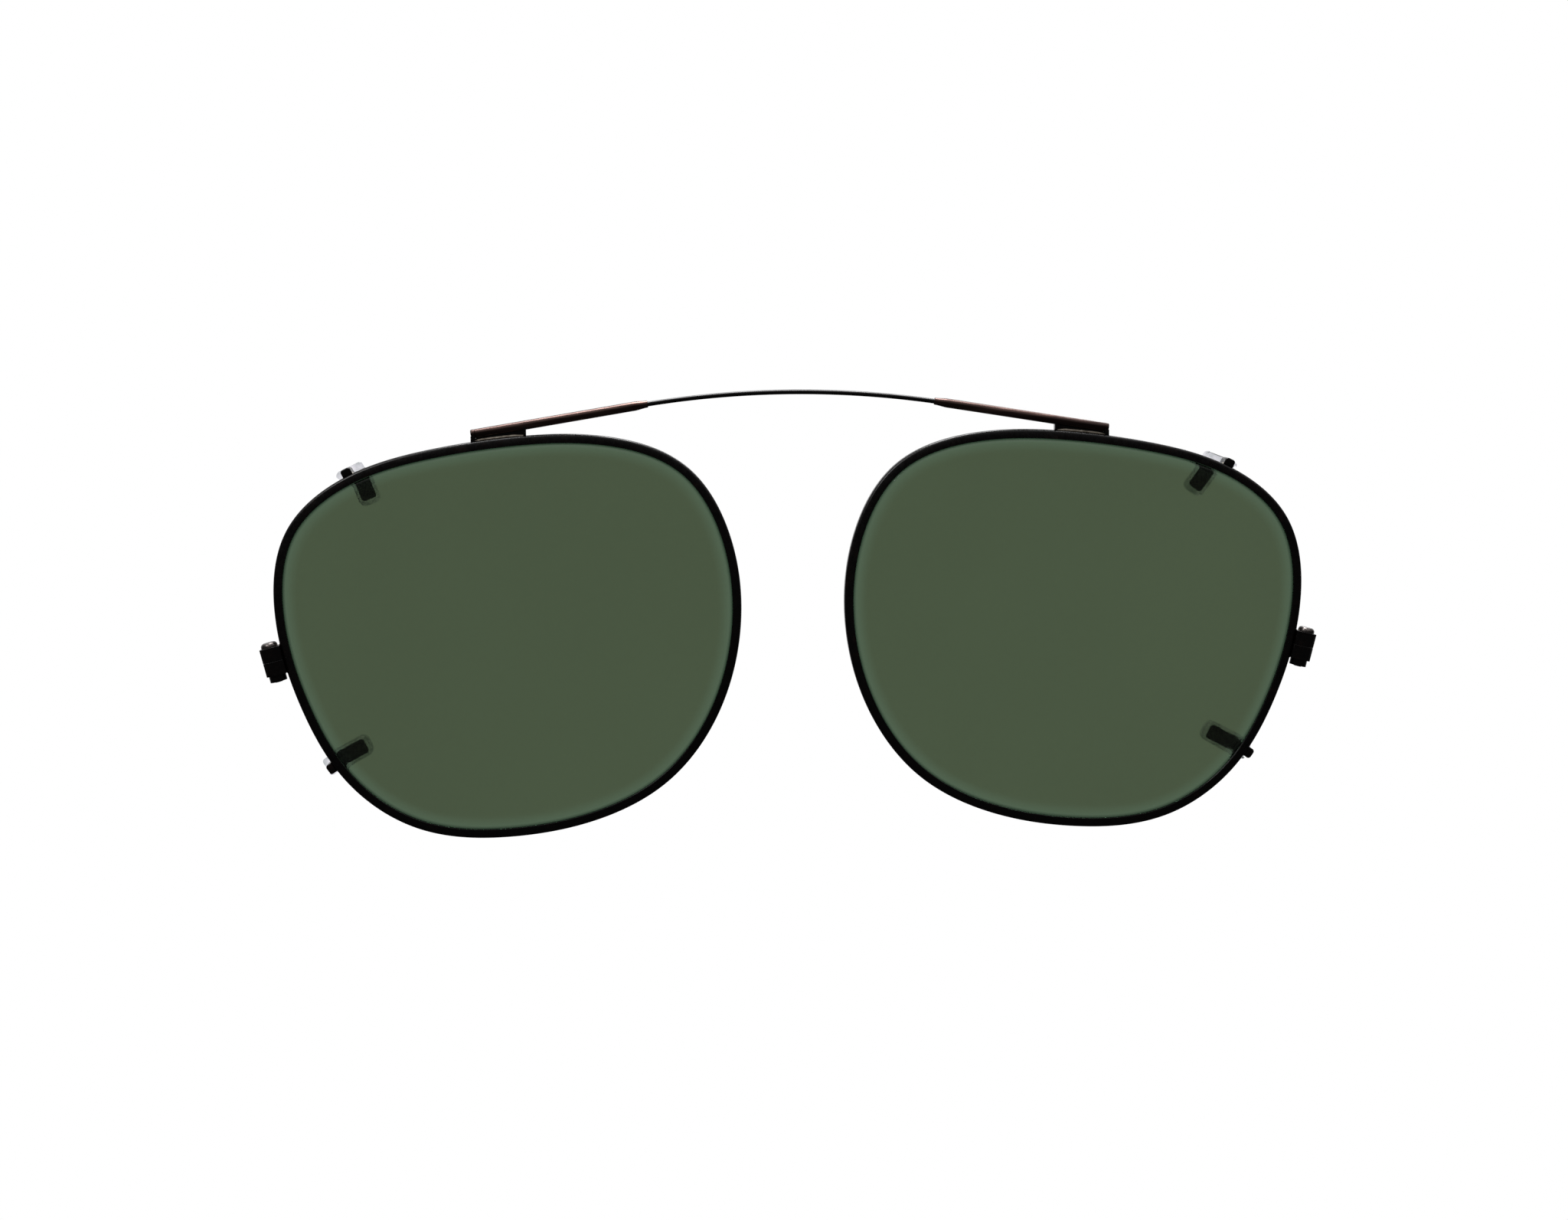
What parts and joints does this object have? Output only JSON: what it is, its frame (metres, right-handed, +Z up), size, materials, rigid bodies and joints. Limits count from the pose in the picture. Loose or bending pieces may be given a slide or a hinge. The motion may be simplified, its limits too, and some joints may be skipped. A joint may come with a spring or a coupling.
{
  "type": "clip on sunglasses",
  "caption": "Clip on sunglasses: two green lenses in thin black rims, a sprung telescoping wire bridge, and covered claws that hook behind the rims of spectacles.",
  "frame": {"origin": "in the mirror plane, at the mid height of the lenses, in the plane of the rims' backs", "axes": "+X to the right seen from the front, +Y back towards the wearer, +Z up"},
  "size_m": [0.1204, 0.0094, 0.0505],
  "materials": {
    "black_metal": "satin black plating",
    "gunmetal": "dark gunmetal plating, half gloss",
    "green_lens": "polished dark green tint",
    "clear_sleeve": "soft clear silicone",
    "solder": "dark bare metal",
    "screw_steel": "dark polished steel",
    "spring_steel": "drawn spring wire"
  },
  "bodies": {
    "bridge": {"bridge_wire": "gunmetal", "left_wire_collar": "screw_steel", "left_spring": "spring_steel", "right_wire_collar": "screw_steel", "right_spring": "spring_steel"},
    "left_frame": {"left_rim": "black_metal", "left_lens": "green_lens", "left_bridge_tube": "gunmetal", "left_tube_plug": "black_metal", "left_tube_bracket": "solder", "left_upper_block": "black_metal", "left_lower_block": "black_metal", "left_block_screw": "screw_steel", "left_upper_claw": "black_metal", "left_lower_claw": "black_metal", "left_upper_claw_sleeve": "clear_sleeve", "left_lower_claw_sleeve": "clear_sleeve"},
    "right_frame": {"right_rim": "black_metal", "right_lens": "green_lens", "right_bridge_tube": "gunmetal", "right_tube_plug": "black_metal", "right_tube_bracket": "solder", "right_upper_block": "black_metal", "right_lower_block": "black_metal", "right_block_screw": "screw_steel", "right_upper_claw": "black_metal", "right_lower_claw": "black_metal", "right_upper_claw_sleeve": "clear_sleeve", "right_lower_claw_sleeve": "clear_sleeve"}
  },
  "joints": [
    {"name": "left_rim_slide", "type": "slide", "parent": "bridge", "child": "left_frame", "axis": [-0.9871, 0, -0.1599], "range_m": [0, 0.004], "stiffness_N_per_m": 200, "springref_m": -0.005, "deforming": ["left_spring"]},
    {"name": "right_rim_slide", "type": "slide", "parent": "bridge", "child": "right_frame", "axis": [0.9871, 0, -0.1599], "range_m": [0, 0.004], "stiffness_N_per_m": 200, "springref_m": -0.005, "deforming": ["right_spring"]}
  ]
}
